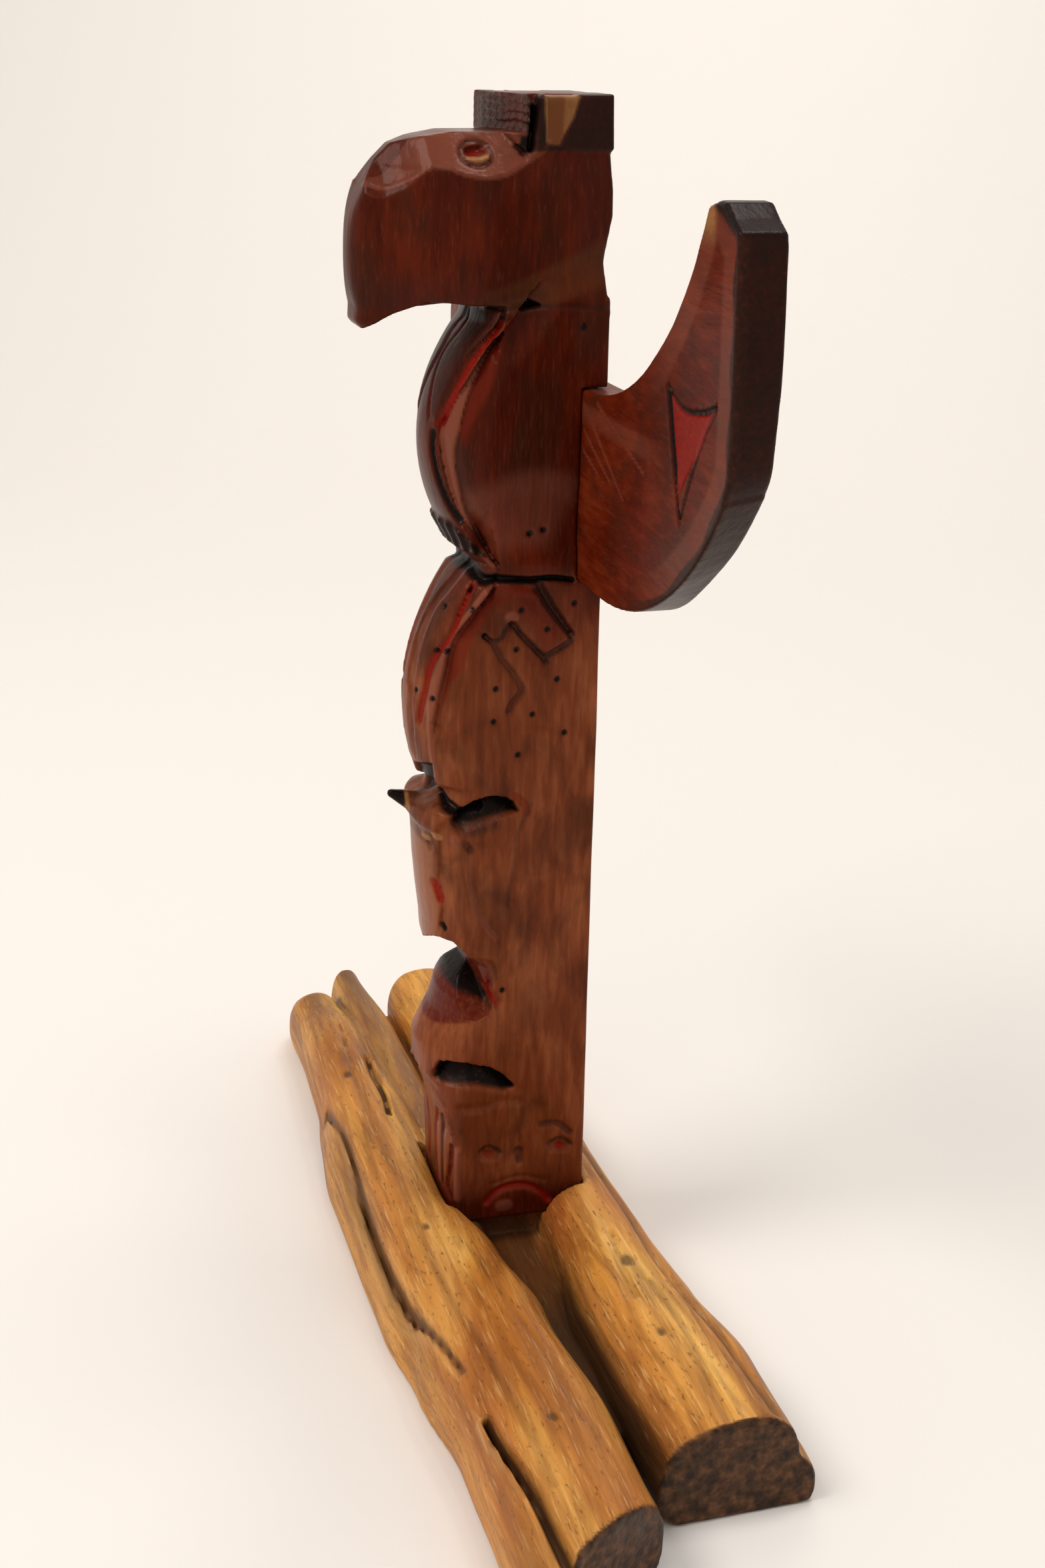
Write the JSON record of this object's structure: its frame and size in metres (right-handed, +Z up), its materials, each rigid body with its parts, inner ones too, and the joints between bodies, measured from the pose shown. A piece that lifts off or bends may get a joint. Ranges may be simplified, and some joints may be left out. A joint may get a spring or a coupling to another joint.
{
  "type": "carved totem figure",
  "caption": "Hand-sized carved wooden totem: a hook-beaked bird with spread wings over stacked faces, standing on a driftwood base.",
  "frame": {"origin": "on the resting plane, under the middle of the square stick that the pole is cut from", "axes": "+Z up the pole, the figure faces -Y, the wings and the driftwood lie along X with the sawn end at +X"},
  "size_m": [0.321, 0.0892, 0.32],
  "materials": {
    "carved_wood": "glossy dark red-brown lacquer with black and red paint in the cuts",
    "wing_wood": "satin red-brown lacquer, edges painted black, one red wedge on each wing",
    "driftwood": "satin, weathered and smoothed, dark brown sawn end grain",
    "screw_steel": "plain zinc-plated steel"
  },
  "bodies": {
    "root": {"pole": "carved_wood", "wing_board": "wing_wood", "driftwood_base": "driftwood", "wing_screws": "screw_steel", "base_screws": "screw_steel"}
  },
  "joints": []
}
